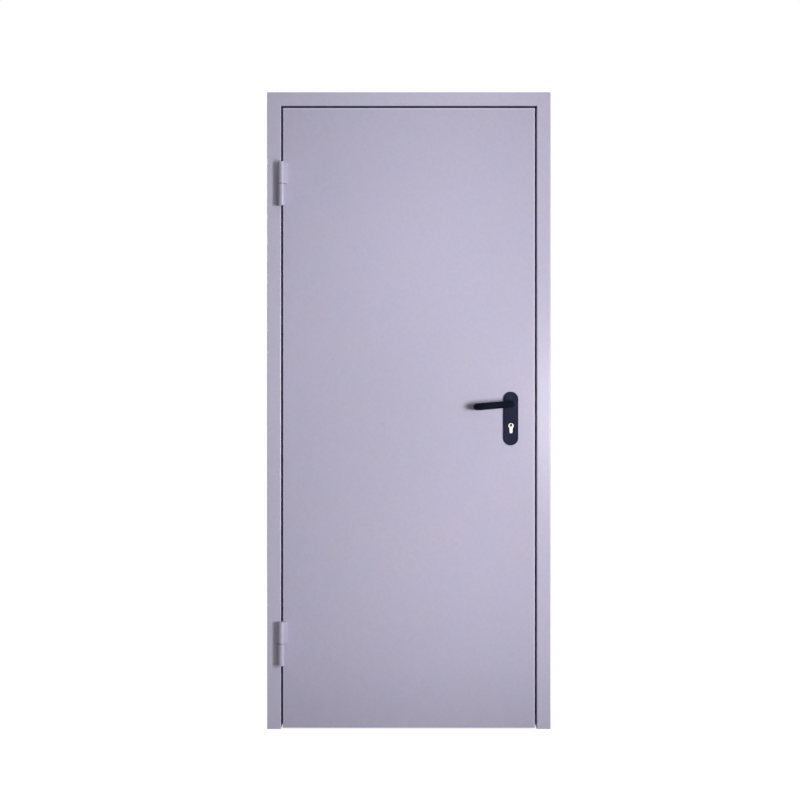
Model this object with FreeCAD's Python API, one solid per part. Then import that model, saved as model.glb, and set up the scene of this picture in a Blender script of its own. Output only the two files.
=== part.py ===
import FreeCAD, Part
import math
import os
from FreeCAD import Vector

# Steel utility door: a single flush leaf in a folded sheet-steel frame.
# Millimetres. +X is to the right seen from the hinge-barrel side, +Y runs into the doorway,
# +Z is up. The origin is on the floor, in the middle of the underside of the sill.

# Frame
frame_width = 935.0
frame_height = 2100.0
face_width = 45.5
stop_height = 18.0
soffit_depth = 45.0
wall_lip = 20.0
frame_sheet = 1.5
frame_bend = 1.5
seal_space = 5.0

# Seal groove in the stop, and the rubber profile in it
groove_from_reveal = 6.5
groove_width = 4.0
groove_depth = 5.5
seal_foot_fit = 0.2
seal_width = 11.0
seal_base = 1.5
seal_rest_gap = 0.4

# Sill
sill_thickness = 3.0
sill_upstand = 19.0

# Wall-fixing holes and the spacer bridges behind them
fixing_hole_diameter = 12.0
fixing_from_end = 150.0
fixing_from_strike = 300.0
bridge_sheet = 2.0
bridge_width = 34.0
bridge_height = 40.0

# Leaf
leaf_thickness = 50.0
leaf_gap = 6.0
leaf_floor_gap = 4.0
leaf_sheet = 1.5
leaf_bend = 1.5
lock_edge_bevel = 3.5
back_flange = 12.0
tray_fit = 0.2
core_inset = 6.0
core_fit = 0.2

# Hinges
hinge_from_leaf_top = 252.5
hinge_from_floor = 284.0
hinge_half_height = 71.0
barrel_diameter = 21.0
barrel_stand_off = 1.5
barrel_chamfer = 1.0
wing_reach = 17.0
wing_edge = 1.2
wing_root = 6.5
pin_diameter = 12.0
pin_press_fit = 0.02
pin_running_fit = 0.08
pin_depth = 48.0
pin_end_gap = 2.0
washer_thickness = 1.8
washer_diameter = 19.0
washer_running_gap = 0.1

# Dog bolts on the hinge edge, and their holes in the jamb
dog_from_hinge = 155.0
dog_diameter = 12.0
dog_projection = 13.0
dog_nose = 2.0
dog_head_diameter = 20.0
dog_head_thickness = 3.0
dog_fit = 0.05
dog_hole_diameter = 19.0

# Lock case, its bolts and its forend
spindle_height = 1072.0
cylinder_below_spindle = 72.0
lock_backset = 80.0
case_thickness = 16.0
case_above_spindle = 50.0
case_below_cylinder = 46.0
case_behind_spindle = 34.0
case_sheet = 1.5
forend_width = 24.0
forend_height = 235.0
forend_thickness = 3.0
forend_fit = 0.3
latch_above_spindle = 16.0
latch_width = 11.0
latch_height = 20.0
latch_length = 42.0
latch_slope = 9.0
latch_land = 1.5
dead_above_cylinder = 26.0
dead_width = 10.5
dead_height = 36.0
dead_length = 58.0
bolt_fit = 0.3
pocket_fit = 0.5

# Strike plate in the lock jamb and the box behind it
strike_width = 26.0
strike_height = 150.0
strike_sheet = 1.5
strike_fit = 0.3
strike_play = 3.0
box_sheet = 1.5
box_depth = 26.0
box_flange = 9.0
box_margin = 3.0

# Profile cylinder and its plugs
cylinder_circle = 17.0
cylinder_web = 10.0
cylinder_tall = 33.0
cylinder_proud = 1.5
cylinder_fit = 0.4
plug_diameter = 13.0
plug_length = 30.0
plug_fit = 0.08
keyhole_diameter = 4.0
keyhole_rise = 2.4
keyway_width = 1.8
keyway_below = 4.8
keyway_depth = 24.0

# Handle plates, levers and spindle
plate_width = 48.5
plate_height = 176.5
plate_thickness = 7.0
plate_above_spindle = 40.0
plate_edge = 3.0
lever_diameter = 23.0
lever_length = 125.0
lever_stand_off = 53.0
lever_bend = 23.0
lever_tip_gap = 14.0
lever_edge = 1.5
lever_droop = 4.9
journal_diameter = 18.0
journal_length = 6.0
journal_fit = 0.08
lever_plate_gap = 0.5
spindle_side = 9.0
spindle_fit = 0.05
spindle_socket = 34.0
spindle_hole_diameter = 21.0

# Planes and lines that follow from the sizes above
half_width = frame_width / 2
reveal_x = half_width - face_width
soffit_x = reveal_x - stop_height
stop_y = -soffit_depth / 2
back_y = soffit_depth / 2
leaf_back_y = stop_y - seal_space
leaf_front_y = leaf_back_y - leaf_thickness
leaf_middle_y = (leaf_front_y + leaf_back_y) / 2
leaf_half = reveal_x - leaf_gap
leaf_bottom = leaf_floor_gap
leaf_top = frame_height - face_width - leaf_gap
leaf_height = leaf_top - leaf_bottom
barrel_radius = barrel_diameter / 2
hinge_x = -(reveal_x + leaf_half) / 2
hinge_y = leaf_front_y - barrel_stand_off - barrel_radius
spindle_x = leaf_half - lock_backset
cylinder_height = spindle_height - cylinder_below_spindle
latch_z = spindle_height + latch_above_spindle
dead_z = cylinder_height + dead_above_cylinder
case_top = spindle_height + case_above_spindle
case_bottom = cylinder_height - case_below_cylinder
case_middle_z = (case_top + case_bottom) / 2
case_height = case_top - case_bottom
strike_z = (latch_z + dead_z) / 2
fixing_heights = [
    fixing_from_end,
    strike_z - fixing_from_strike,
    strike_z + fixing_from_strike,
    frame_height - fixing_from_end,
]
hinge_heights = {"upper": leaf_top - hinge_from_leaf_top, "lower": hinge_from_floor}
dog_heights = {
    "upper": hinge_heights["upper"] - dog_from_hinge,
    "lower": hinge_heights["lower"] + dog_from_hinge,
}
plate_middle_z = spindle_height + plate_above_spindle - plate_height / 2
outer_bend = leaf_bend + leaf_sheet
beyond = 5.0


# Helpers

def outline(corners, place):
    """Closed wire through corners (u, v, radius), each rounded by its radius."""
    points = [Vector(u, v, 0) for u, v, radius in corners]
    stretches = []
    for index, corner in enumerate(points):
        radius = corners[index][2]
        back = (points[index - 1] - corner).normalize()
        ahead = (points[(index + 1) % len(points)] - corner).normalize()
        half_angle = back.getAngle(ahead) / 2
        reach = radius / math.tan(half_angle) if radius else 0
        depth = radius / math.sin(half_angle) - radius if radius else 0
        middle = corner + (back + ahead).normalize() * depth if radius else corner
        stretches.append((corner + back * reach, middle, corner + ahead * reach))
    edges = []
    for index, (start, middle, end) in enumerate(stretches):
        last_end = stretches[index - 1][2]
        if (start - last_end).Length > 1e-6:
            edges.append(Part.LineSegment(place(last_end), place(start)).toShape())
        if corners[index][2]:
            edges.append(Part.Arc(place(start), place(middle), place(end)).toShape())
    return Part.Wire(edges)


def folded_strip(skin, sheet, bend):
    """Corners of a folded sheet: skin is its visible line, and the metal lies to its left."""
    normals = []
    turns = []
    for (u1, v1), (u2, v2) in zip(skin, skin[1:]):
        length = math.hypot(u2 - u1, v2 - v1)
        normals.append(Vector(-(v2 - v1) / length, (u2 - u1) / length, 0))
    for first, second in zip(normals, normals[1:]):
        turns.append(first.cross(second).z)
    near = []
    far = []
    for index, (u, v) in enumerate(skin):
        first = normals[max(index - 1, 0)]
        second = normals[min(index, len(normals) - 1)]
        shift = (first + second) * (sheet / (1 + first.dot(second)))
        inner = 0 < index < len(skin) - 1
        turn = turns[index - 1] if inner else 0
        near.append((u, v, (bend + sheet if turn > 0 else bend) if inner else 0))
        far.append((u + shift.x, v + shift.y, (bend if turn > 0 else bend + sheet) if inner else 0))
    return near + far[::-1]


def plan(x0, y0, z):
    """Maps an outline to the horizontal plane at height z."""
    return lambda point: Vector(x0 + point.x, y0 + point.y, z)


def prism(corners, place, along):
    """Solid swept straight from an outline."""
    return Part.Face(outline(corners, place)).extrude(along)


def block(x1, x2, y1, y2, z1, z2):
    """Box between two corners."""
    return Part.makeBox(x2 - x1, y2 - y1, z2 - z1, Vector(x1, y1, z1))


def middle_block(x1, x2, width, z, height):
    """Box along X in the middle of the leaf's thickness, centred at height z."""
    y1 = leaf_middle_y - width / 2
    y2 = leaf_middle_y + width / 2
    return block(x1, x2, y1, y2, z - height / 2, z + height / 2)


def spindle_rod(radius, z, y1, y2):
    """Cylinder along Y, in line with the spindle."""
    return Part.makeCylinder(radius, y2 - y1, Vector(spindle_x, y1, z), Vector(0, 1, 0))


def middle_rod(radius, z, x1, x2):
    """Cylinder along X in the middle of the leaf's thickness."""
    return Part.makeCylinder(radius, x2 - x1, Vector(x1, leaf_middle_y, z), Vector(1, 0, 0))


def hinge_rod(radius, z1, z2):
    """Cylinder on the hinge line."""
    return Part.makeCylinder(radius, z2 - z1, Vector(hinge_x, hinge_y, z1), Vector(0, 0, 1))


def mirrored(shape):
    """The same shape on the other side of the door's middle."""
    return shape.mirror(Vector(0, 0, 0), Vector(1, 0, 0))


def turned_front_to_back(shape):
    """The same shape on the leaf's other face."""
    return shape.mirror(Vector(0, leaf_middle_y, 0), Vector(0, 1, 0))


def edges_near(shape, test):
    """Edges whose middle passes the test."""
    found = []
    for edge in shape.Edges:
        middle = edge.valueAt((edge.FirstParameter + edge.LastParameter) / 2)
        if test(edge, middle):
            found.append(edge)
    return found


def lock_edge_x(y, depth):
    """Where the leaf's bevelled lock edge is at y, moved inwards by depth."""
    return leaf_half - lock_edge_bevel * (y - leaf_front_y) / leaf_thickness - depth


def outside_lock_edge(depth):
    """Everything past the bevelled lock edge, moved inwards by depth."""
    front = leaf_front_y - beyond
    back = leaf_back_y + beyond
    far = reveal_x + half_width
    corners = [
        (lock_edge_x(front, depth), front, 0),
        (far, front, 0),
        (far, back, 0),
        (lock_edge_x(back, depth), back, 0),
    ]
    return prism(corners, plan(0, 0, 0), Vector(0, 0, frame_height))


# Frame

def frame_corners():
    """Folded section of jambs and head: u runs inwards from the frame's outer side, v is depth."""
    groove_start = face_width + groove_from_reveal
    groove_end = groove_start + groove_width
    groove_floor = stop_y + groove_depth
    soffit_u = face_width + stop_height
    skin = [
        (0, leaf_front_y + wall_lip),
        (0, leaf_front_y),
        (face_width, leaf_front_y),
        (face_width, stop_y),
        (groove_start, stop_y),
        (groove_start, groove_floor),
        (groove_end, groove_floor),
        (groove_end, stop_y),
        (soffit_u, stop_y),
        (soffit_u, back_y),
        (0, back_y),
        (0, back_y - wall_lip),
    ]
    return folded_strip(skin, frame_sheet, frame_bend)


def seal_corners():
    """Rubber profile: a foot in the groove and a rounded bulb in front of the stop."""
    middle_u = face_width + groove_from_reveal + groove_width / 2
    foot = groove_width / 2 - seal_foot_fit
    floor = stop_y + groove_depth - seal_foot_fit
    base = stop_y - seal_base
    crown = leaf_back_y + seal_rest_gap
    half = seal_width / 2
    bulb = half - seal_base
    return [
        (middle_u - half, stop_y, 0),
        (middle_u - half, base, 0),
        (middle_u - bulb, base, 0),
        (middle_u - bulb, crown, bulb / 2),
        (middle_u + bulb, crown, bulb / 2),
        (middle_u + bulb, base, 0),
        (middle_u + half, base, 0),
        (middle_u + half, stop_y, 0),
        (middle_u + foot, stop_y, 0),
        (middle_u + foot, floor, frame_bend - seal_foot_fit),
        (middle_u - foot, floor, frame_bend - seal_foot_fit),
        (middle_u - foot, stop_y, 0),
    ]


def mitre(keep_jamb):
    """Wedge on the left corner's 45 degree mitre, to be cut from the jamb or from the head."""
    size = face_width + stop_height + beyond
    outer = Vector(-half_width - beyond, 0, frame_height + beyond)
    inner = Vector(-half_width + size, 0, frame_height - size)
    third = Vector(inner.x, 0, outer.z) if keep_jamb else Vector(outer.x, 0, inner.z)
    depth = frame_height
    shift = Vector(0, -depth / 2, 0)
    wire = Part.makePolygon([outer + shift, inner + shift, third + shift, outer + shift])
    return Part.Face(wire).extrude(Vector(0, depth, 0))


def left_upright(corners):
    """A jamb section swept up the left side and mitred at the top."""
    length = prism(corners, plan(-half_width, 0, 0), Vector(0, 0, frame_height))
    return length.cut(mitre(True))


def top_rail(corners):
    """A head section swept across the top and mitred at both ends."""
    across = Vector(frame_width, 0, 0)
    length = prism(corners, lambda p: Vector(-half_width, p.y, frame_height - p.x), across)
    wedge = mitre(False)
    return length.cut(wedge).cut(mirrored(wedge))


def reveal_hole(diameter, height):
    """Round hole through the left jamb's reveal."""
    return middle_rod(diameter / 2, height, -reveal_x - beyond, -reveal_x + beyond)


def make_plain_jamb():
    """Left jamb with its wall-fixing holes through the reveal."""
    jamb = left_upright(frame_corners())
    for height in fixing_heights:
        jamb = jamb.cut(reveal_hole(fixing_hole_diameter, height))
    return jamb


def make_hinge_jamb():
    """Left jamb, with the holes that take the dog bolts."""
    jamb = make_plain_jamb()
    for height in dog_heights.values():
        jamb = jamb.cut(reveal_hole(dog_hole_diameter, height))
    return jamb


def strike_outline(fit):
    """Outline of the strike plate in the lock jamb's reveal, grown by fit."""
    half = strike_width / 2 + fit
    tall = strike_height / 2 + fit
    return [(-half, -tall, 0), (half, -tall, 0), (half, tall, 0), (-half, tall, 0)]


def strike_place(x):
    """Maps an outline to the lock jamb's reveal at x."""
    return lambda point: Vector(x, leaf_middle_y + point.x, strike_z + point.y)


def make_lock_jamb():
    """Right jamb, with the window for the strike plate."""
    jamb = mirrored(make_plain_jamb())
    window = prism(strike_outline(strike_fit), strike_place(reveal_x - beyond), Vector(2 * beyond, 0, 0))
    return jamb.cut(window)


def bolt_windows(x1, x2):
    """The two openings through the strike for latch and dead bolt."""
    width = latch_width + 2 * strike_play
    upper = middle_block(x1, x2, width, latch_z, latch_height + 2 * strike_play)
    lower = middle_block(x1, x2, width, dead_z, dead_height + 2 * strike_play)
    return upper.fuse(lower)


def make_strike_plate():
    """Strike plate, flush in the reveal."""
    plate = prism(strike_outline(0), strike_place(reveal_x), Vector(strike_sheet, 0, 0))
    return plate.cut(bolt_windows(reveal_x - beyond, reveal_x + beyond))


def make_strike_box():
    """Sheet box behind the strike, on a flange that backs the plate and the jamb."""
    front = reveal_x + frame_sheet
    back = front + box_depth
    room = 2 * (strike_play + box_margin)
    overlap = 2 * (strike_fit + box_flange)
    bolts_top = latch_z + latch_height / 2
    bolts_bottom = dead_z - dead_height / 2
    middle_z = (bolts_top + bolts_bottom) / 2
    width = latch_width + room
    height = bolts_top - bolts_bottom + room
    flange_width = strike_width + overlap
    flange_height = strike_height + overlap
    flange = middle_block(front, front + box_sheet, flange_width, strike_z, flange_height)
    walls = middle_block(front, back, width + 2 * box_sheet, middle_z, height + 2 * box_sheet)
    hollow = middle_block(front - beyond, back - box_sheet, width, middle_z, height)
    return flange.fuse(walls).cut(hollow).removeSplitter()


def make_bridge(height):
    """Spacer bridge behind one fixing hole, from the left jamb's reveal to its front wall lip."""
    web_u = face_width - frame_sheet
    half = bridge_width / 2
    skin = [(frame_sheet, -half), (web_u, -half), (web_u, half), (frame_sheet, half)]
    corners = folded_strip(skin, bridge_sheet, bridge_sheet)
    bottom = height - bridge_height / 2
    bridge = prism(corners, plan(-half_width, leaf_middle_y, bottom), Vector(0, 0, bridge_height))
    return bridge.cut(middle_rod(fixing_hole_diameter / 2, height, -half_width, -reveal_x))


def make_sill():
    """Low steel angle between the jambs, behind the leaf."""
    skin = [(stop_y, sill_upstand), (stop_y, 0), (back_y, 0)]
    corners = folded_strip(skin, sill_thickness, sill_thickness / 2)
    return prism(corners, lambda p: Vector(-soffit_x, p.x, p.y), Vector(2 * soffit_x, 0, 0))


def make_sill_seal():
    """Rubber strip on the front of the sill's upstand."""
    half = seal_width / 2
    middle = sill_upstand - half
    crown = leaf_back_y + seal_rest_gap
    bulb = half - seal_base
    corners = [
        (stop_y, middle - half, 0),
        (stop_y, middle + half, 0),
        (stop_y - seal_base, middle + half, 0),
        (stop_y - seal_base, middle + bulb, 0),
        (crown, middle + bulb, bulb / 2),
        (crown, middle - bulb, bulb / 2),
        (stop_y - seal_base, middle - bulb, 0),
        (stop_y - seal_base, middle - half, 0),
    ]
    return prism(corners, lambda p: Vector(-soffit_x, p.x, p.y), Vector(2 * soffit_x, 0, 0))


# Hinges

def tangent_from(point, side):
    """Point where a line from the given point touches the barrel, seen from the barrel's middle."""
    distance = point.Length
    angle = math.atan2(point.y, point.x) + side * math.acos(barrel_radius / distance)
    return Vector(barrel_radius * math.cos(angle), barrel_radius * math.sin(angle), 0)


def barrel_with_wing(bottom, top):
    """One hinge half: a round barrel and the wing that runs from it down to the leaf's face."""
    face = barrel_radius + barrel_stand_off
    tip = Vector(wing_reach, face - wing_edge, 0)
    root = Vector(wing_root, face, 0)
    front = tangent_from(tip, -1)
    rear = tangent_from(root, 1)
    wing_low = bottom + barrel_chamfer
    wing_high = top - barrel_chamfer
    corners = [(0, 0, 0), (front.x, front.y, 0), (tip.x, tip.y, wing_edge / 2), (wing_reach, face, 0),
               (root.x, root.y, 0), (rear.x, rear.y, 0)]
    wing = prism(corners, plan(hinge_x, hinge_y, wing_low), Vector(0, 0, wing_high - wing_low))
    barrel = hinge_rod(barrel_radius, bottom, top)
    barrel = barrel.makeChamfer(barrel_chamfer, edges_near(barrel, lambda edge, middle: edge.Closed))
    return barrel.fuse(wing)


def swapped_side(shape):
    """The same hinge half with its wing on the jamb's side of the hinge line."""
    return shape.mirror(Vector(hinge_x, 0, 0), Vector(1, 0, 0))


def make_hinge_leaf_half(height):
    """Upper half on the leaf, with a blind bore that drops over the pin."""
    bottom = height + washer_thickness / 2 + washer_running_gap
    half = barrel_with_wing(bottom, bottom + hinge_half_height)
    bore_end = bottom + pin_depth + pin_end_gap
    return half.cut(hinge_rod(pin_diameter / 2 + pin_running_fit, bottom - beyond, bore_end))


def make_hinge_frame_half(height):
    """Lower half on the jamb, which holds the pin."""
    top = height - washer_thickness / 2
    half = swapped_side(barrel_with_wing(top - hinge_half_height, top))
    return half.cut(hinge_rod(pin_diameter / 2 + pin_press_fit, top - pin_depth, top + beyond))


def make_hinge_pin(height):
    """Steel pin, held in the lower half."""
    top = height - washer_thickness / 2
    pin = hinge_rod(pin_diameter / 2, top - pin_depth, height + pin_depth)
    upper_rim = edges_near(pin, lambda edge, middle: edge.Closed and middle.z > height)
    return pin.makeChamfer(barrel_chamfer, upper_rim)


def make_hinge_washer(height):
    """Washer round the pin, between the two halves."""
    bottom = height - washer_thickness / 2
    ring = hinge_rod(washer_diameter / 2, bottom, bottom + washer_thickness)
    return ring.cut(hinge_rod(pin_diameter / 2 + pin_running_fit, bottom - beyond, bottom + beyond))


# Leaf

def leaf_prism(depth, front, back):
    """Leaf outline moved inwards by depth, between two planes; its lock edge keeps the bevel."""
    corners = [
        (depth - leaf_half, front, 0),
        (lock_edge_x(front, depth), front, 0),
        (lock_edge_x(back, depth), back, 0),
        (depth - leaf_half, back, 0),
    ]
    return prism(corners, plan(0, 0, leaf_bottom + depth), Vector(0, 0, leaf_height - 2 * depth))


def rounded_rim(shape, y, radius):
    """Bend along the four edges of a tray in the plane at y."""
    def on_rim(edge, middle):
        return abs(edge.BoundBox.YMin - y) < 1e-3 and abs(edge.BoundBox.YMax - y) < 1e-3
    return shape.makeFillet(radius, edges_near(shape, on_rim))


def spindle_and_cylinder(grow, y1, y2):
    """The two ways through the leaf: round for the spindle, profiled for the cylinder."""
    spindle = spindle_rod(spindle_hole_diameter / 2 + grow, spindle_height, y1, y2)
    return spindle.fuse(cylinder_profile(cylinder_fit + grow, y1, y2))


def forend_cut(fit):
    """Opening in the leaf's lock edge for the forend, grown by fit."""
    inner_x = leaf_half - outer_bend - forend_width
    return middle_block(inner_x, reveal_x, forend_width + 2 * fit, case_middle_z, forend_height + 2 * fit)


def make_leaf_front_panel():
    """Front tray: the face and its four folded walls, with openings for lock and dog bolts."""
    outer = rounded_rim(leaf_prism(0, leaf_front_y, leaf_back_y), leaf_front_y, outer_bend)
    hollow_front = leaf_front_y + leaf_sheet
    hollow = leaf_prism(leaf_sheet, hollow_front, leaf_back_y + beyond)
    tray = outer.cut(rounded_rim(hollow, hollow_front, leaf_bend))
    tray = tray.cut(spindle_and_cylinder(0, leaf_front_y - beyond, leaf_front_y + beyond))
    tray = tray.cut(forend_cut(forend_fit))
    for height in dog_heights.values():
        tray = tray.cut(middle_rod(dog_diameter / 2 + dog_fit, height, -reveal_x, -leaf_half + beyond))
    return tray


def make_leaf_back_panel():
    """Back tray, nested in the front one and flush with the ends of its walls."""
    inset = leaf_sheet + tray_fit
    flange_front = leaf_back_y - back_flange
    outer = rounded_rim(leaf_prism(inset, flange_front, leaf_back_y), leaf_back_y, outer_bend)
    hollow_back = leaf_back_y - leaf_sheet
    hollow = leaf_prism(inset + leaf_sheet, flange_front - beyond, hollow_back)
    tray = outer.cut(rounded_rim(hollow, hollow_back, leaf_bend))
    return tray.cut(spindle_and_cylinder(0, leaf_back_y - beyond, leaf_back_y + beyond))


def make_leaf_core():
    """Honeycomb core, one block with room for lock, spindle and cylinder."""
    front = leaf_front_y + leaf_sheet + core_fit
    back = leaf_back_y - leaf_sheet - core_fit
    core = leaf_prism(core_inset, front, back)
    back_x = spindle_x - case_behind_spindle - pocket_fit
    width = case_thickness + 2 * pocket_fit
    case = middle_block(back_x, reveal_x, width, case_middle_z, case_height + 2 * pocket_fit)
    return core.cut(case).cut(spindle_and_cylinder(pocket_fit, front - beyond, back + beyond))


def make_dog_bolt(height):
    """Fixed pin on the hinge edge, headed inside the leaf."""
    wall = -leaf_half + leaf_sheet
    tip = -leaf_half - dog_projection
    shank = middle_rod(dog_diameter / 2, height, tip, wall)
    nose = edges_near(shank, lambda edge, middle: edge.Closed and middle.x < wall - beyond)
    shank = shank.makeChamfer(dog_nose, nose)
    return shank.fuse(middle_rod(dog_head_diameter / 2, height, wall, wall + dog_head_thickness))


# Lock

def cylinder_profile(grow, y1, y2):
    """Profile of the cylinder along Y: a circle over a straight web with a round foot."""
    radius = cylinder_circle / 2
    web = cylinder_web / 2
    foot = cylinder_height + radius - cylinder_tall + web
    circle = spindle_rod(radius + grow, cylinder_height, y1, y2)
    straight = block(spindle_x - web - grow, spindle_x + web + grow, y1, y2, foot, cylinder_height)
    rounded = spindle_rod(web + grow, foot, y1, y2)
    return circle.fuse([straight, rounded]).removeSplitter()


def make_cylinder_body():
    """Profile cylinder through leaf and plates, bored at both ends for its plugs."""
    reach = plate_thickness + cylinder_proud
    front = leaf_front_y - reach
    back = leaf_back_y + reach
    body = cylinder_profile(0, front, back)
    bore = plug_diameter / 2 + plug_fit
    depth = plug_length + plug_fit
    body = body.cut(spindle_rod(bore, cylinder_height, front - beyond, front + depth))
    return body.cut(spindle_rod(bore, cylinder_height, back - depth, back + beyond))


def make_front_cylinder_plug():
    """Round plug with its keyhole and keyway, which turns in the cylinder."""
    front = leaf_front_y - plate_thickness - cylinder_proud
    plug = spindle_rod(plug_diameter / 2, cylinder_height, front, front + plug_length)
    half = keyway_width / 2
    hole_height = cylinder_height + keyhole_rise
    slot = block(spindle_x - half, spindle_x + half, front - beyond, front + keyway_depth,
                 cylinder_height - keyway_below, hole_height)
    hole = spindle_rod(keyhole_diameter / 2, hole_height, front - beyond, front + keyway_depth)
    return plug.cut(slot.fuse(hole))


def make_lock_forend():
    """Forend in the lock edge, on the bevel, with its two bolt openings."""
    plate = middle_block(spindle_x, reveal_x, forend_width, case_middle_z, forend_height)
    plate = plate.cut(outside_lock_edge(0)).common(outside_lock_edge(forend_thickness))
    return plate.cut(bolt_room(spindle_x))


def bolt_room(x1):
    """Room for latch and dead bolt to slide in, from x1 outwards."""
    latch = middle_block(x1, reveal_x, latch_width + 2 * bolt_fit, latch_z, latch_height + 2 * bolt_fit)
    dead = middle_block(x1, reveal_x, dead_width + 2 * bolt_fit, dead_z, dead_height + 2 * bolt_fit)
    return latch.fuse(dead)


def make_lock_case():
    """Sheet-steel case of the mortise lock, open for bolts, spindle and cylinder."""
    back_x = spindle_x - case_behind_spindle
    width = case_thickness - 2 * case_sheet
    height = case_height - 2 * case_sheet
    case = middle_block(back_x, reveal_x, case_thickness, case_middle_z, case_height)
    case = case.cut(outside_lock_edge(forend_thickness))
    hollow = middle_block(back_x + case_sheet, reveal_x, width, case_middle_z, height)
    hollow = hollow.cut(outside_lock_edge(forend_thickness + case_sheet))
    case = case.cut(hollow).cut(bolt_room(spindle_x))
    return case.cut(spindle_and_cylinder(0, leaf_front_y, leaf_back_y))


def make_latch_bolt():
    """Latch, drawn back flush with the forend, sloped on its closing side."""
    tail_x = leaf_half - lock_edge_bevel - latch_length
    length = middle_block(tail_x, reveal_x, latch_width, latch_z, latch_height)
    length = length.cut(outside_lock_edge(0))
    slope_start = leaf_middle_y - latch_width / 2 + latch_land
    slope_end = leaf_middle_y + latch_width / 2 - latch_land
    nose_x = lock_edge_x(slope_start, 0)
    slope = [
        (nose_x + beyond, slope_start, 0),
        (nose_x + beyond, slope_end + beyond, 0),
        (nose_x - latch_slope, slope_end + beyond, 0),
        (nose_x - latch_slope, slope_end, 0),
        (nose_x, slope_start, 0),
    ]
    return length.cut(prism(slope, plan(0, 0, latch_z - latch_height), Vector(0, 0, 2 * latch_height)))


def make_dead_bolt():
    """Dead bolt, drawn back flush with the forend."""
    tail_x = leaf_half - lock_edge_bevel - dead_length
    length = middle_block(tail_x, reveal_x, dead_width, dead_z, dead_height)
    return length.cut(outside_lock_edge(0))


# Handles

def make_front_handle_plate():
    """Long plate with round ends, a bearing for the lever and an opening for the cylinder."""
    half = plate_width / 2
    y1 = leaf_front_y - plate_thickness
    y2 = leaf_front_y
    top = plate_middle_z + plate_height / 2 - half
    bottom = plate_middle_z - plate_height / 2 + half
    ends = spindle_rod(half, top, y1, y2).fuse(spindle_rod(half, bottom, y1, y2))
    plate = ends.fuse(block(spindle_x - half, spindle_x + half, y1, y2, bottom, top)).removeSplitter()

    def front_rim(edge, point):
        return abs(edge.BoundBox.YMax - y1) < 1e-3
    plate = plate.makeFillet(plate_edge, edges_near(plate, front_rim))
    bearing = journal_diameter / 2 + journal_fit
    plate = plate.cut(spindle_rod(bearing, spindle_height, y1 - beyond, y2 + beyond))
    return plate.cut(cylinder_profile(cylinder_fit, y1 - beyond, y2 + beyond))


def lever_path():
    """Middle line of the lever: out of the plate, along the leaf, and back towards it."""
    start = leaf_front_y - plate_thickness - lever_plate_gap
    far = leaf_front_y - lever_stand_off
    tip_x = spindle_x - lever_length + lever_diameter / 2
    tip_y = leaf_front_y - lever_tip_gap
    short = lever_bend * (1 - math.sqrt(0.5))
    points = [
        (spindle_x, start),
        (spindle_x, far + lever_bend),
        (spindle_x - short, far + short),
        (spindle_x - lever_bend, far),
        (tip_x + lever_bend, far),
        (tip_x + short, far + short),
        (tip_x, far + lever_bend),
        (tip_x, tip_y),
    ]
    neck, neck_end, first_bend, grip, grip_end, last_bend, return_start, tip = [
        Vector(x, y, spindle_height) for x, y in points
    ]
    edges = [
        Part.LineSegment(neck, neck_end),
        Part.Arc(neck_end, first_bend, grip),
        Part.LineSegment(grip, grip_end),
        Part.Arc(grip_end, last_bend, return_start),
        Part.LineSegment(return_start, tip),
    ]
    return Part.Wire([edge.toShape() for edge in edges]), start, tip_y


def make_front_lever():
    """U-shaped lever of round section, with its journal in the plate and a socket for the spindle."""
    path, start, tip_y = lever_path()
    circle = Part.Circle(Vector(spindle_x, start, spindle_height), Vector(0, 1, 0), lever_diameter / 2)
    tube = path.makePipeShell([Part.Wire([circle.toShape()])], True, True)

    def at_ends(edge, point):
        box = edge.BoundBox
        flat = abs(box.YMax - box.YMin) < 1e-3
        return flat and min(abs(box.YMax - tip_y), abs(box.YMax - start)) < 1e-3
    tube = tube.makeFillet(lever_edge, edges_near(tube, at_ends))
    journal_end = start + lever_plate_gap + journal_length
    lever = tube.fuse(spindle_rod(journal_diameter / 2, spindle_height, start - lever_edge, journal_end))
    half = spindle_side / 2 + spindle_fit
    socket = block(spindle_x - half, spindle_x + half, journal_end - spindle_socket, leaf_front_y,
                   spindle_height - half, spindle_height + half)
    return drooped(lever.cut(socket))


def drooped(shape):
    """Turned about the spindle so that the grip hangs a little, as on the worn spring."""
    return shape.rotate(Vector(spindle_x, 0, spindle_height), Vector(0, 1, 0), -lever_droop)


def make_handle_spindle():
    """Square bar that joins the two levers."""
    half = spindle_side / 2
    reach = plate_thickness - journal_length + spindle_socket - 2 * leaf_sheet
    y1 = leaf_front_y - reach
    y2 = leaf_back_y + reach
    bar = block(spindle_x - half, spindle_x + half, y1, y2, spindle_height - half, spindle_height + half)
    return drooped(bar)


# Nodes

def frame_nodes():
    """Pieces that stay with the wall."""
    left_seal = left_upright(seal_corners())
    nodes = {
        "hinge_jamb": make_hinge_jamb(),
        "lock_jamb": make_lock_jamb(),
        "head_rail": top_rail(frame_corners()),
        "sill": make_sill(),
        "hinge_side_seal": left_seal,
        "lock_side_seal": mirrored(left_seal),
        "head_seal": top_rail(seal_corners()),
        "sill_seal": make_sill_seal(),
        "strike_plate": make_strike_plate(),
        "strike_box": make_strike_box(),
    }
    for number, height in enumerate(fixing_heights, 1):
        bridge = make_bridge(height)
        nodes[f"hinge_jamb_bridge_{number}"] = bridge
        nodes[f"lock_jamb_bridge_{number}"] = mirrored(bridge)
    return nodes


def hinge_nodes():
    """Both hinges, each in its four pieces."""
    nodes = {}
    for name, height in hinge_heights.items():
        nodes[f"{name}_hinge_leaf_half"] = make_hinge_leaf_half(height)
        nodes[f"{name}_hinge_frame_half"] = make_hinge_frame_half(height)
        nodes[f"{name}_hinge_pin"] = make_hinge_pin(height)
        nodes[f"{name}_hinge_washer"] = make_hinge_washer(height)
    return nodes


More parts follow.
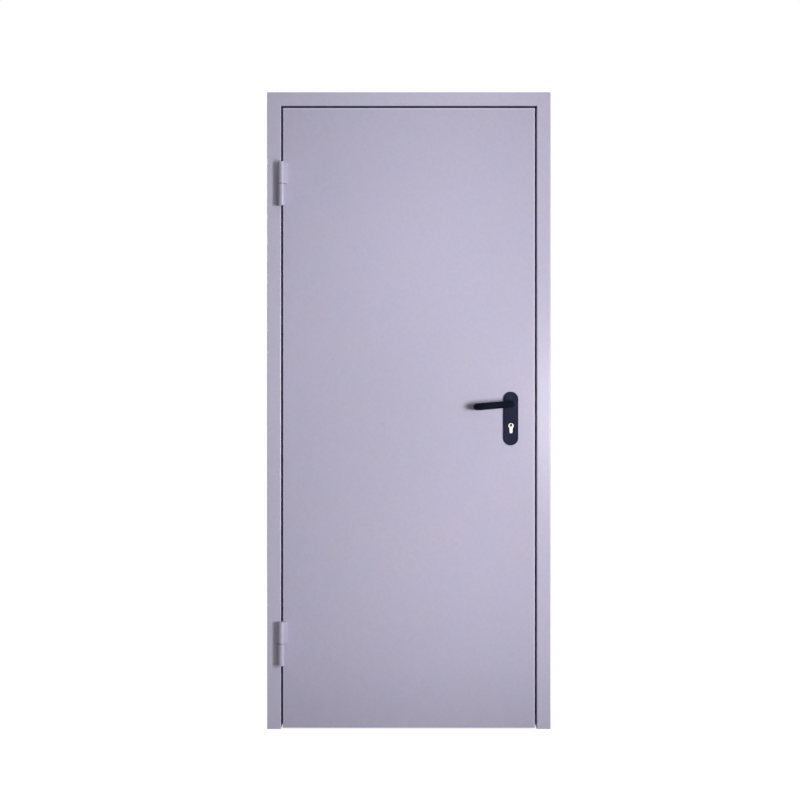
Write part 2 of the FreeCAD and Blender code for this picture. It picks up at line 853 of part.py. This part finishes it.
def leaf_nodes():
    """The leaf, its lock and its handles."""
    plug = make_front_cylinder_plug()
    plate = make_front_handle_plate()
    lever = make_front_lever()
    return {
        "leaf_front_panel": make_leaf_front_panel(),
        "leaf_back_panel": make_leaf_back_panel(),
        "leaf_core": make_leaf_core(),
        "upper_dog_bolt": make_dog_bolt(dog_heights["upper"]),
        "lower_dog_bolt": make_dog_bolt(dog_heights["lower"]),
        "lock_case": make_lock_case(),
        "lock_forend": make_lock_forend(),
        "latch_bolt": make_latch_bolt(),
        "dead_bolt": make_dead_bolt(),
        "cylinder_body": make_cylinder_body(),
        "front_cylinder_plug": plug,
        "back_cylinder_plug": turned_front_to_back(plug),
        "front_handle_plate": plate,
        "back_handle_plate": turned_front_to_back(plate),
        "front_lever": lever,
        "back_lever": turned_front_to_back(lever),
        "handle_spindle": make_handle_spindle(),
    }


os.makedirs("parts", exist_ok=True)
for nodes in (frame_nodes(), hinge_nodes(), leaf_nodes()):
    for name, shape in nodes.items():
        assert shape.isValid(), name
        shape.exportStep(f"parts/{name}.step")
        print(f"{name}: {len(shape.Solids)} solid, {shape.Volume / 1000:.1f} cm3")
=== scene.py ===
import math

import bmesh
import bpy
from mathutils import Matrix, Vector


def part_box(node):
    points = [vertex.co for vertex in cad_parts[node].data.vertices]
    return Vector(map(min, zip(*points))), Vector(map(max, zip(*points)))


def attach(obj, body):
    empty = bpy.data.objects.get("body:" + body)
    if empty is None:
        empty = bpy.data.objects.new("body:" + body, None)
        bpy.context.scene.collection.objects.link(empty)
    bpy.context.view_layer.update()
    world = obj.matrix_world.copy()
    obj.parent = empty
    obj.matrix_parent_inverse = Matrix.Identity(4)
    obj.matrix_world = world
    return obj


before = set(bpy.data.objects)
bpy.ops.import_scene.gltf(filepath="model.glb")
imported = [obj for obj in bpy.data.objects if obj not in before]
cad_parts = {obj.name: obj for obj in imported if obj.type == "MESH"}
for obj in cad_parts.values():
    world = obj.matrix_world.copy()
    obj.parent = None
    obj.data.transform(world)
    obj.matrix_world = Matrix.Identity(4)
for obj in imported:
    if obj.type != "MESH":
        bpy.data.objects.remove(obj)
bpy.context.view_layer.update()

# Millimetres, for sizes written as the maker gives them
MM = 0.001

# Colours, as linear light
LILAC_WARM = (0.504, 0.467, 0.604)
LILAC_COOL = (0.486, 0.467, 0.612)
SMUDGE = (0.300, 0.275, 0.330)
NYLON_BLACK = (0.0100, 0.0130, 0.0370)
NYLON_WORN = (0.0150, 0.0175, 0.0400)
# Blacker than the plates' nylon as painted shade, on the levers and on the dog bolts in the gap; lighter
# where hands touch
PAINTED_SHADE_BLACK = (0.0035, 0.0055, 0.0125)
PAINTED_SHADE_TOUCHED = (0.0070, 0.0100, 0.0190)
# Painted shade for the reveal under the head
HEAD_REVEAL_SHADE = (0.034, 0.035, 0.062)
# Painted shade in and round the keyway
KEYWAY_PAINTED_SHADE = (0.0060, 0.0050, 0.0045)
RUBBER_BLACK = (0.0120, 0.0125, 0.0150)
RUBBER_DUST = (0.0600, 0.0600, 0.0680)
NICKEL = (0.740, 0.700, 0.685)
NICKEL_DULL = (0.520, 0.455, 0.415)
BRASS = (0.700, 0.620, 0.500)
BRASS_DULL = (0.440, 0.350, 0.250)
STAINLESS = (0.610, 0.600, 0.585)
STAINLESS_DULL = (0.500, 0.495, 0.490)
ZINC = (0.560, 0.580, 0.600)
ZINC_DARK = (0.380, 0.400, 0.430)
STEEL = (0.500, 0.490, 0.480)
STEEL_OILED = (0.330, 0.310, 0.290)
KRAFT = (0.400, 0.260, 0.140)
KRAFT_DARK = (0.260, 0.160, 0.080)


# Materials

class Value:
    """A number on its way through a material, which takes part in Python's sums."""

    def __init__(self, finish, socket):
        self.finish = finish
        self.socket = socket

    def sum_with(self, operation, first, second):
        return self.finish.node("ShaderNodeMath", {"operation": operation}, {0: first, 1: second})

    def __add__(self, other):
        return self.sum_with("ADD", self, other)

    def __radd__(self, other):
        return self.sum_with("ADD", other, self)

    def __sub__(self, other):
        return self.sum_with("SUBTRACT", self, other)

    def __rsub__(self, other):
        return self.sum_with("SUBTRACT", other, self)

    def __mul__(self, other):
        return self.sum_with("MULTIPLY", self, other)

    def __truediv__(self, other):
        return self.sum_with("DIVIDE", self, other)

    def __pow__(self, other):
        return self.sum_with("POWER", self, other)

    def most(self, other):
        """The larger of the two."""
        return self.sum_with("MAXIMUM", self, other)

    def size(self):
        """The value without its sign."""
        return self.sum_with("ABSOLUTE", self, 0)

    def rise(self, start, end):
        """Goes smoothly from 0 at start to 1 at end."""
        return self.finish.node("ShaderNodeMapRange", {"interpolation_type": "SMOOTHSTEP"},
                                {"Value": self, "From Min": start, "From Max": end})

    def band(self, start, full, fading, end):
        """Goes smoothly from 0 to 1 and back to 0."""
        return self.rise(start, full) * (1.0 - self.rise(fading, end))


class Finish:
    """One material, built node by node on the object's own coordinates."""

    def __init__(self, name):
        self.material = bpy.data.materials.new(name)
        self.material.use_nodes = True
        self.tree = self.material.node_tree
        self.shader = self.tree.nodes["Principled BSDF"]
        self.place = self.node("ShaderNodeTexCoord", {}, {}, "Object")

    def node(self, kind, settings, sockets, output=0):
        """Adds a node: its settings first, then the values or links of its sockets."""
        made = self.tree.nodes.new(kind)
        for key, setting in settings.items():
            setattr(made, key, setting)
        for key, value in sockets.items():
            self.feed(made.inputs[key], value)
        return Value(self, made.outputs[output])

    def feed(self, socket, value):
        """Links a value to a socket, or writes a constant there."""
        if isinstance(value, Value):
            self.tree.links.new(value.socket, socket)
        elif isinstance(value, tuple) and len(value) == 3 and socket.type == "RGBA":
            socket.default_value = (*value, 1.0)
        else:
            socket.default_value = value

    def set(self, **sockets):
        """Sets the shader's own sockets; an underscore stands for a space."""
        for key, value in sockets.items():
            self.feed(self.shader.inputs[key.replace("_", " ")], value)
        return self

    def stretched(self, x, y, z):
        """The object's coordinates, scaled by axis."""
        return self.node("ShaderNodeMapping", {"vector_type": "POINT"},
                         {"Vector": self.place, "Scale": (x, y, z)})

    def axis(self, letter):
        """One of the object's coordinates, in metres."""
        return self.node("ShaderNodeSeparateXYZ", {}, {"Vector": self.place}, letter)

    def noise(self, size, detail=2.0, roughness=0.5, place=None):
        """Noise from 0 to 1 whose features measure about the given size in metres."""
        return self.node("ShaderNodeTexNoise", {"noise_dimensions": "3D"},
                         {"Vector": place or self.place, "Scale": 1.0 / size,
                          "Detail": detail, "Roughness": roughness}, "Fac")

    def cells(self, size, feature="F1", output="Distance", place=None):
        """Cell pattern whose cells measure about the given size in metres."""
        return self.node("ShaderNodeTexVoronoi", {"feature": feature},
                         {"Vector": place or self.place, "Scale": 1.0 / size}, output)

    def between(self, mask, first, second):
        """Colour that goes from first to second as the mask goes from 0 to 1."""
        mixed = self.node("ShaderNodeMix", {"data_type": "RGBA", "clamp_factor": True},
                          {0: mask, 6: first, 7: second})
        mixed.socket = mixed.socket.node.outputs[2]
        return mixed

    def lit(self, colour, level):
        """Colour multiplied by a grey level."""
        return self.node("ShaderNodeVectorMath", {"operation": "SCALE"}, {0: colour, "Scale": level})

    def relief(self, height, depth, strength=1.0):
        """Surface relief from a height of 0 to 1 over the given depth in metres."""
        bump = self.node("ShaderNodeBump", {},
                         {"Height": height, "Distance": depth, "Strength": strength}, "Normal")
        return self.set(Normal=bump)

    def spot(self, x, z, width, tall):
        """Mask of a soft-edged spot on an upright face, ragged at its rim."""
        across = (self.axis("X") - x) / width
        up = (self.axis("Z") - z) / tall
        reach = (across * across + up * up) ** 0.5
        ragged = reach + (self.noise(6 * MM, 3.0) - 0.5) * 0.9
        return 1.0 - ragged.rise(0.35, 1.0)


# Where painted shade darkens the reveal under the head: front to back, and height
REVEAL_SHADE_DEPTHS = (-76.5 * MM, -75.0 * MM, -29.0 * MM, -28.0 * MM)
REVEAL_SHADE_HEIGHTS = (2049 * MM, 2050 * MM, 2055 * MM, 2056 * MM)
# How far up the frame and the leaf the colour darkens towards the floor
FLOOR_DARKENING_HEIGHT = 0.28


def powder_coat(name, roughness, shine, tone=1.0, marks=(), head_shade=0.0, edge_highlights=()):
    """Lilac-grey powder coat: fine orange peel, faint mottle, a few marks, darker towards the floor,
    painted highlights along chosen edges, and painted shade in the reveal under the head.
    """
    paint = Finish(name)
    cloud = paint.noise(0.42, 3.0, 0.55)
    tint = paint.noise(0.11, 2.0, 0.5)
    mottle = paint.noise(9 * MM, 4.0, 0.6)
    grain = paint.noise(2.6 * MM, 2.0, 0.5)
    base = paint.between(tint.rise(0.32, 0.68), LILAC_COOL, LILAC_WARM)
    level = tone + (cloud - 0.5) * 0.03 + (mottle - 0.5) * 0.17 + (grain - 0.5) * 0.08
    # Darker and rougher in noisy patches towards the floor
    dust = paint.noise(0.05, 3.0) * (1.0 - paint.axis("Z").rise(0.0, FLOOR_DARKENING_HEIGHT))
    colour = paint.between(dust * 0.22, paint.lit(base, level), SMUDGE)
    # Painted highlights: lighter bands along the given edges
    for letter, inside, edge, lift in edge_highlights:
        colour = paint.lit(colour, 1.0 + paint.axis(letter).rise(inside, edge) * lift)
    for x, z, width, tall, depth in marks:
        colour = paint.between(paint.spot(x, z, width, tall) * depth, colour, SMUDGE)
    # Painted shade in the reveal under the head, where the frame's rebate lies in shade
    head_reveal_shade = paint.axis("Y").band(*REVEAL_SHADE_DEPTHS) * paint.axis("Z").band(*REVEAL_SHADE_HEIGHTS)
    colour = paint.between(head_reveal_shade * head_shade, colour, HEAD_REVEAL_SHADE)
    peel = paint.noise(3.2 * MM, 2.0, 0.45)
    rough = roughness + (mottle - 0.5) * 0.12 + (cloud - 0.5) * 0.10 + dust * 0.2
    paint.set(Base_Color=colour, Roughness=rough, Specular_IOR_Level=shine)
    paint.relief(peel * 0.7 + grain * 0.3, 0.06 * MM)
    return paint.material


def dull_black(name, dark, worn, shine):
    """Black nylon, or steel darkened to black, with a faint fine grain, a little shinier where hands
    touch it.
    """
    plastic = Finish(name)
    touch = plastic.noise(0.03, 3.0)
    grain = plastic.cells(1.1 * MM, "SMOOTH_F1")
    fine = plastic.noise(0.6 * MM, 2.0)
    colour = plastic.between(touch.rise(0.35, 0.75), dark, worn)
    plastic.set(Base_Color=colour, Roughness=0.56 - touch * 0.10 + fine * 0.05, Specular_IOR_Level=shine)
    plastic.relief(grain * 0.6 + fine * 0.4, 0.03 * MM)
    return plastic.material


def rubber():
    """Extruded black rubber, dull, with drawing lines along it and dust on it."""
    seal = Finish("seal_rubber_black")
    lines = seal.noise(1.2 * MM, place=seal.stretched(1.0, 1.0, 0.01))
    dust = seal.noise(0.02, 4.0, 0.65).rise(0.45, 0.8)
    seal.set(Base_Color=seal.between(dust * 0.35, RUBBER_BLACK, RUBBER_DUST), Roughness=0.55 + dust * 0.3)
    seal.relief(lines, 0.05 * MM)
    return seal.material


def brushed(name, bright, dull, roughness, stretch):
    """Brushed metal: fine scratches drawn out along one axis."""
    metal = Finish(name)
    place = metal.stretched(*stretch)
    scratch = metal.noise(0.5 * MM, 3.0, 0.6, place)
    wide = metal.noise(3.0 * MM, place=place)
    haze = metal.noise(0.03, 3.0)
    colour = metal.between(wide * 0.5 + haze * 0.4, bright, dull)
    metal.set(Base_Color=colour, Metallic=1.0, Roughness=roughness + scratch * 0.12 + haze * 0.06)
    metal.relief(scratch, 0.012 * MM)
    return metal.material


# Middle of the keyhole, halfway through the lock, and how far from it the plugs' faces lie
KEYHOLE = (336.0 * MM, -52.5 * MM, 1002.4 * MM)
PLUG_REACH = 33.5 * MM


def keyed_metal(name):
    """Turned metal of the lock's plugs, bright at both faces, with painted shade in the keyway and in a
    dark ring round it.
    """
    metal = Finish(name)
    turned = metal.noise(0.4 * MM, 3.0, 0.6)
    haze = metal.noise(4 * MM, 3.0)
    # Painted shade: dark wherever the surface lies deeper than a face, and in a ring round the keyhole
    depth = PLUG_REACH - (metal.axis("Y") - KEYHOLE[1]).size()
    across = metal.axis("X") - KEYHOLE[0]
    up = metal.axis("Z") - KEYHOLE[2]
    rim = 1.0 - ((across * across + up * up) ** 0.5).rise(3.6 * MM, 4.3 * MM)
    shade = depth.rise(0.1 * MM, 0.7 * MM).most(rim)
    bright = metal.between(haze, BRASS, BRASS_DULL)
    metal.set(Base_Color=metal.between(shade, bright, KEYWAY_PAINTED_SHADE), Metallic=1.0 - shade,
              Roughness=0.26 + turned * 0.10 + shade * 0.5)
    metal.relief(turned, 0.01 * MM)
    return metal.material


def galvanised():
    """Hot-dip zinc with its spangle of crystals."""
    zinc = Finish("zinc_spangle")
    spangle = zinc.cells(9 * MM, "F1", "Color")
    tone = zinc.node("ShaderNodeSeparateColor", {}, {"Color": spangle}, "Red")
    feather = zinc.noise(1.5 * MM, 3.0)
    colour = zinc.between(tone * 0.7 + feather * 0.3, ZINC, ZINC_DARK)
    zinc.set(Base_Color=colour, Metallic=1.0, Roughness=0.34 + tone * 0.16 + feather * 0.08)
    zinc.relief(feather, 0.02 * MM)
    return zinc.material


def turned_steel():
    """Plain turned steel with a film of oil and fine tool marks."""
    steel = Finish("steel_oiled")
    marks = steel.noise(0.4 * MM, place=steel.stretched(0.05, 0.05, 1.0))
    oil = steel.noise(0.015, 4.0).rise(0.4, 0.75)
    steel.set(Base_Color=steel.between(oil, STEEL, STEEL_OILED), Metallic=1.0,
              Roughness=0.26 + marks * 0.10 + oil * 0.12)
    steel.relief(marks, 0.015 * MM)
    return steel.material


def honeycomb():
    """Brown kraft honeycomb, its cells running through the leaf."""
    paper = Finish("kraft_honeycomb")
    cell = paper.cells(22 * MM, "DISTANCE_TO_EDGE", "Distance", paper.stretched(1.0, 0.0, 1.0))
    fibre = paper.noise(2.0 * MM, 4.0, 0.6, paper.stretched(1.0, 1.0, 0.2))
    wall = 1.0 - cell.rise(0.02, 0.10)
    paper.set(Base_Color=paper.between(fibre * 0.7 + wall * 0.3, KRAFT, KRAFT_DARK), Roughness=0.85)
    paper.relief(wall + fibre * 0.2, 0.8 * MM)
    return paper.material


# Faint scuffs on the leaf's face: place across, height, half width, half height, strength
LEAF_MARKS = [
    (-0.250, 1.220, 0.008, 0.006, 0.16),
    (-0.075, 1.183, 0.010, 0.006, 0.10),
    (-0.089, 1.005, 0.009, 0.008, 0.10),
    (-0.148, 0.860, 0.012, 0.006, 0.09),
    (0.159, 0.883, 0.007, 0.007, 0.12),
    (-0.257, 0.022, 0.006, 0.004, 0.40),
]

leaf_low, leaf_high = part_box("leaf_front_panel")
RIM = 7.0 * MM
RIM_INNER = 5.0 * MM
# Painted highlights along the leaf's edges: axis, where each starts, where it is full, and how much
# lighter it is there
LEAF_EDGE_HIGHLIGHTS = [
    ("X", leaf_high[0] - RIM, leaf_high[0] - RIM_INNER, 0.14),
    ("X", leaf_low[0] + RIM, leaf_low[0] + RIM_INNER, 0.09),
    ("Z", leaf_high[2] - RIM, leaf_high[2] - RIM_INNER, 0.20),
]

finishes = {
    "frame_paint": powder_coat("frame_powder_coat", 0.33, 0.85, tone=1.015, head_shade=0.75),
    "leaf_paint": powder_coat("leaf_powder_coat", 0.56, 0.40, marks=LEAF_MARKS, edge_highlights=LEAF_EDGE_HIGHLIGHTS),
    # The hinges' coat is a darker tone of the same paint: painted shade
    "hinge_paint": powder_coat("hinge_powder_coat", 0.34, 1.0, tone=0.84),
    "hinge_steel": turned_steel(),
    "galvanised": galvanised(),
    "stainless": brushed("stainless_brushed", STAINLESS, STAINLESS_DULL, 0.26, (1.0, 1.0, 0.03)),
    "seal_rubber": rubber(),
    "core_paper": honeycomb(),
    "black_plastic": dull_black("plate_nylon", NYLON_BLACK, NYLON_WORN, 0.08),
    "cylinder_metal": brushed("cylinder_nickel", NICKEL, NICKEL_DULL, 0.24, (1.0, 0.05, 1.0)),
    "plug_metal": keyed_metal("plug_brass"),
}

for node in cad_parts.values():
    for slot in node.material_slots:
        slot.material = finishes[slot.material.name.split(".")[0]]

# The washers take the hinges' paint darkened as painted shade between the hinge halves, the levers a
# nylon darkened as painted shade, and the dog bolts a black that is painted shade in the gap
washer_shaded_finish = powder_coat("washer_powder_coat_painted_shade", 0.60, 0.30, tone=0.42)
# The levers: painted shade, a darker copy of the plates' nylon
lever_shaded_finish = dull_black("lever_nylon_painted_shade", PAINTED_SHADE_BLACK, PAINTED_SHADE_TOUCHED, 0.03)
# The dog bolts: darkened to black as painted shade in the gap
bolt_shaded_finish = dull_black("dog_bolt_painted_shade", PAINTED_SHADE_BLACK, PAINTED_SHADE_TOUCHED, 0.03)
for node, finish in (
    ("upper_hinge_washer", washer_shaded_finish),
    ("lower_hinge_washer", washer_shaded_finish),
    ("upper_dog_bolt", bolt_shaded_finish),
    ("lower_dog_bolt", bolt_shaded_finish),
    ("front_lever", lever_shaded_finish),
    ("back_lever", lever_shaded_finish),
):
    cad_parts[node].material_slots[0].material = finish


# Small fittings

def piece(shape, name, body, slot):
    """Makes a finished shape a piece that rides on a body, in the finish of a slot."""
    bmesh.ops.recalc_face_normals(shape, faces=shape.faces)
    mesh = bpy.data.meshes.new(name)
    shape.to_mesh(mesh)
    shape.free()
    mesh.materials.append(finishes[slot])
    mesh.shade_smooth()
    mesh.set_sharp_from_angle(angle=math.radians(32))
    made = bpy.data.objects.new(name, mesh)
    bpy.context.scene.collection.objects.link(made)
    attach(made, body)


def socket_reach(turn, points):
    """Reach of a drive recess at an angle, against its widest: a hexagon, or a cross of four arms."""
    if points == 6:
        aside = (turn + math.pi / 6) % (math.pi / 3) - math.pi / 6
        return 0.866 / math.cos(aside)
    aside = abs((turn + math.pi / 4) % (math.pi / 2) - math.pi / 4)
    return 1.0 if aside < 0.21 else 0.34


# Shares of a screw head's width: its shank, how deep it is sunk, its drive's reach and depth
SHANK = 0.22
SUNK = 0.3
DRIVE_REACH = 0.27
DRIVE_DEPTH = 0.16


def screw(name, place, facing, head, rise, points, body, slot):
    """Countersunk screw with a low crown and a drive recess, its rim level with the surface."""
    shape = bmesh.new()
    deep = head * SUNK
    bmesh.ops.create_cone(shape, cap_ends=True, segments=48, depth=deep,
                          radius1=head * SHANK, radius2=head / 2)
    bmesh.ops.translate(shape, vec=(0, 0, 0.03 * MM - deep / 2), verts=shape.verts)
    crown = [face for face in shape.faces if face.normal.z > 0.9]
    for width, lift in ((0.03, 0.45), (0.08, 0.35), (0.10, 0.20)):
        bmesh.ops.inset_region(shape, faces=crown, thickness=head * width, depth=rise * lift)
    bmesh.ops.inset_region(shape, faces=crown, thickness=head * 0.02)
    for corner in crown[0].verts:
        turn = math.atan2(corner.co.y, corner.co.x)
        reach = head * DRIVE_REACH * socket_reach(turn, points)
        corner.co.x = math.cos(turn) * reach
        corner.co.y = math.sin(turn) * reach
    bmesh.ops.inset_region(shape, faces=crown, thickness=head * 0.008, depth=-head * DRIVE_DEPTH)
    turned = Vector(facing).to_track_quat("Z", "Y").to_matrix().to_4x4()
    bmesh.ops.transform(shape, matrix=Matrix.Translation(place) @ turned, verts=shape.verts)
    piece(shape, name, body, slot)


def weld_bead(name, start, end, radius, body):
    """Painted weld: a rod half sunk in the corner that it fills, rippled and round at both ends."""
    start = Vector(start)
    along = Vector(end) - start
    length = along.length
    shape = bmesh.new()
    bmesh.ops.create_cone(shape, cap_ends=True, segments=12, depth=length,
                          radius1=radius, radius2=radius)
    bmesh.ops.translate(shape, vec=(0, 0, length / 2), verts=shape.verts)
    sides = [edge for edge in shape.edges if abs(edge.verts[0].co.z - edge.verts[1].co.z) > length / 2]
    cuts = int(length / (0.6 * MM))
    bmesh.ops.subdivide_edges(shape, edges=sides, cuts=cuts, use_grid_fill=True)
    for corner in shape.verts:
        from_end = min(corner.co.z, length - corner.co.z) / (2 * radius)
        ripple = 1.0 + 0.07 * math.sin(corner.co.z / MM * 2.6)
        fat = ripple * math.sqrt(1.0 - (1.0 - min(from_end, 1.0)) ** 2 * 0.9)
        corner.co.x *= fat
        corner.co.y *= fat
    turned = along.to_track_quat("Z", "Y").to_matrix().to_4x4()
    bmesh.ops.transform(shape, matrix=Matrix.Translation(start) @ turned, verts=shape.verts)
    piece(shape, name, body, "hinge_paint")


def middle_of(node):
    """Middle of a node's box."""
    low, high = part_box(node)
    return (Vector(low) + Vector(high)) / 2


# How far the screws sit from the ends of the plate, and of the forend and the strike
PLATE_INSET = 12.5 * MM
EDGE_INSET = 9 * MM
EDGE_HEAD = 7.5 * MM

plate_low, plate_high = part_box("back_handle_plate")
plate_middle = middle_of("back_handle_plate")
for name, height in (("upper", plate_high[2] - PLATE_INSET), ("lower", plate_low[2] + PLATE_INSET)):
    place = (plate_middle.x, plate_high[1], height)
    screw(f"{name}_back_plate_screw", place, (0, 1, 0), 9 * MM, 1.1 * MM, 6, "leaf", "hinge_steel")

# The lock edge leans back by its bevel, and its screws with it
LOCK_EDGE_X = 416 * MM
EDGE_LEAN = 3.5 / 50.0
forend_low, forend_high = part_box("lock_forend")
cylinder_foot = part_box("cylinder_body")[0][2]
forend_middle = middle_of("lock_forend")
forend_face = (LOCK_EDGE_X - EDGE_LEAN * (forend_middle.y - leaf_low[1]), forend_middle.y)
for name, height, head in (
    ("upper_forend_screw", forend_high[2] - EDGE_INSET, EDGE_HEAD),
    ("lower_forend_screw", forend_low[2] + EDGE_INSET, EDGE_HEAD),
    ("cylinder_fixing_screw", cylinder_foot + 5.5 * MM, 7.0 * MM),
):
    place = (*forend_face, height)
    screw(name, place, (1, EDGE_LEAN, 0), head, 0.2 * MM, 4, "leaf", "hinge_steel")

strike_low, strike_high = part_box("strike_plate")
strike_middle = middle_of("strike_plate")
for name, height in (("upper", strike_high[2] - EDGE_INSET), ("lower", strike_low[2] + EDGE_INSET)):
    place = (strike_low[0], strike_middle.y, height)
    screw(f"{name}_strike_screw", place, (-1, 0, 0), EDGE_HEAD, 0.2 * MM, 4, "frame", "hinge_steel")

# Grub screws that hold the levers on their spindle, in the underside of each neck
NECK_RADIUS = 11.4 * MM
spindle = middle_of("handle_spindle")
for name, y in (("front", -96 * MM), ("back", -9 * MM)):
    place = (spindle.x, y, spindle.z - NECK_RADIUS)
    screw(f"{name}_lever_grub_screw", place, (0, 0, -1), 5 * MM, 0.1 * MM, 6, "lever", "hinge_steel")

# Welds along the wing of each hinge half, and along its ends as far as the wing's foot
WELD_REACH = 10 * MM
for name, body, side in (("leaf", "leaf", 1), ("frame", "frame", -1)):
    for level in ("upper", "lower"):
        low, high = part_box(f"{level}_hinge_{name}_half")
        wing_x = high[0] if side > 0 else low[0]
        foot_x = wing_x - side * WELD_REACH
        bottom = low[2] + 1.0 * MM
        top = high[2] - 1.0 * MM
        face = high[1]
        label = f"{level}_hinge_{name}_weld"
        weld_bead(f"{label}_side", (wing_x, face, bottom), (wing_x, face, top), 1.1 * MM, body)
        weld_bead(f"{label}_bottom", (foot_x, face, bottom), (wing_x, face, bottom), 0.9 * MM, body)
        weld_bead(f"{label}_top", (foot_x, face, top), (wing_x, face, top), 0.9 * MM, body)


# Camera, lamps, floor and backdrop

camera_data = bpy.data.cameras.new("camera")
camera_data.lens = 50.5
camera_data.sensor_width = 36.0
camera = bpy.data.objects.new("camera", camera_data)
camera.location = (-0.0293, -3.7775, 1.0848)
camera.rotation_euler = (math.radians(90), 0, 0)
bpy.context.scene.collection.objects.link(camera)
bpy.context.scene.camera = camera


def soft_lamp(name, place, target, width, power, colour):
    """Square soft box at place, turned to its target."""
    data = bpy.data.lights.new(name, "AREA")
    data.shape = "SQUARE"
    data.size = width
    data.energy = power
    data.color = colour
    lamp = bpy.data.objects.new(name, data)
    lamp.location = place
    lamp.rotation_euler = (Vector(target) - Vector(place)).to_track_quat("-Z", "Y").to_euler()
    bpy.context.scene.collection.objects.link(lamp)


def spot_lamp(name, place, target, cone, softness, power, colour):
    """Spot at place, turned to its target, with a soft-edged cone in degrees."""
    data = bpy.data.lights.new(name, "SPOT")
    data.spot_size = math.radians(cone)
    data.spot_blend = 1.0
    data.shadow_soft_size = softness
    data.energy = power
    data.color = colour
    lamp = bpy.data.objects.new(name, data)
    lamp.location = place
    lamp.rotation_euler = (Vector(target) - Vector(place)).to_track_quat("-Z", "Y").to_euler()
    bpy.context.scene.collection.objects.link(lamp)


KEY_COLOUR = (1.0, 0.985, 0.98)
soft_lamp("near_key", (1.16, -1.58, 1.00), (0.1, -0.08, 1.05), 0.45, 21.1, KEY_COLOUR)
spot_lamp("key_centre", (1.16, -1.58, 1.05), (0.44, -0.08, 1.08), 24, 0.2, 15.4, KEY_COLOUR)
# Spots well to the right, aimed past the hinge side, which they light far more than the lever
for name, height, aim_height, power, colour in (
    ("low_spot", 0.45, 0.25, 152.0, (0.990, 0.985, 1.010)),
    ("middle_spot", 1.05, 1.05, 70.0, KEY_COLOUR),
    ("high_spot", 1.65, 1.90, 188.0, (0.990, 1.010, 1.040)),
):
    spot_lamp(name, (2.2, -2.28, height), (-0.68, -0.08, aim_height), 40, 0.25, power, colour)
soft_lamp("top_box", (0.5, -1.20, 3.00), (0.3, -0.08, 1.05), 1.2, 6.0, (1.0, 1.0, 1.0))
soft_lamp("back_box", (-1.4, 2.4, 1.9), (0.0, 0.0, 1.0), 1.2, 60.0, (0.98, 0.99, 1.0))


def seen_white(tree, light, dark):
    """Factor that is 1 where the camera, a reflection or clear glass looks, and 0 for light."""
    path = tree.nodes.new("ShaderNodeLightPath")
    first = tree.nodes.new("ShaderNodeMath")
    first.operation = "MAXIMUM"
    tree.links.new(path.outputs["Is Camera Ray"], first.inputs[0])
    tree.links.new(path.outputs["Is Glossy Ray"], first.inputs[1])
    second = tree.nodes.new("ShaderNodeMath")
    second.operation = "MAXIMUM"
    tree.links.new(first.outputs[0], second.inputs[0])
    tree.links.new(path.outputs["Is Transmission Ray"], second.inputs[1])
    mix = tree.nodes.new("ShaderNodeMixShader")
    tree.links.new(second.outputs[0], mix.inputs[0])
    tree.links.new(dark.outputs[0], mix.inputs[1])
    tree.links.new(light.outputs[0], mix.inputs[2])
    return mix


world = bpy.data.worlds.new("studio")
world.use_nodes = True
bpy.context.scene.world = world
world_tree = world.node_tree
white = world_tree.nodes["Background"]
white.inputs["Color"].default_value = (1, 1, 1, 1)
white.inputs["Strength"].default_value = 1.0
fill = world_tree.nodes.new("ShaderNodeBackground")
fill.inputs["Color"].default_value = (0.97, 0.98, 1.0, 1)
fill.inputs["Strength"].default_value = 0.15
world_look = seen_white(world_tree, white, fill)
world_tree.links.new(world_look.outputs[0], world_tree.nodes["World Output"].inputs["Surface"])

floor_finish = bpy.data.materials.new("studio_floor")
floor_finish.use_nodes = True
floor_tree = floor_finish.node_tree
matt = floor_tree.nodes["Principled BSDF"]
matt.inputs["Base Color"].default_value = (0.30, 0.30, 0.30, 1)
matt.inputs["Roughness"].default_value = 0.9
matt.inputs["Specular IOR Level"].default_value = 0.1
glow = floor_tree.nodes.new("ShaderNodeEmission")
# The floor's glow dims near the door by ambient occlusion: a painted contact shadow
openness = floor_tree.nodes.new("ShaderNodeAmbientOcclusion")
openness.samples = 16
openness.inputs["Distance"].default_value = 0.02
level = floor_tree.nodes.new("ShaderNodeMath")
level.operation = "MULTIPLY_ADD"
level.inputs[1].default_value = 0.22
level.inputs[2].default_value = 0.72
floor_tree.links.new(openness.outputs["AO"], level.inputs[0])
floor_tree.links.new(level.outputs[0], glow.inputs["Strength"])
both = floor_tree.nodes.new("ShaderNodeAddShader")
floor_tree.links.new(matt.outputs[0], both.inputs[0])
floor_tree.links.new(glow.outputs[0], both.inputs[1])
floor_look = seen_white(floor_tree, both, matt)
floor_tree.links.new(floor_look.outputs[0], floor_tree.nodes["Material Output"].inputs["Surface"])

floor_shape = bmesh.new()
bmesh.ops.create_grid(floor_shape, x_segments=2, y_segments=2, size=40.0)
floor_mesh = bpy.data.meshes.new("studio_floor")
floor_shape.to_mesh(floor_mesh)
floor_shape.free()
floor = bpy.data.objects.new("studio_floor", floor_mesh)
floor_mesh.materials.append(floor_finish)
bpy.context.scene.collection.objects.link(floor)

bpy.context.scene.view_settings.view_transform = "Standard"
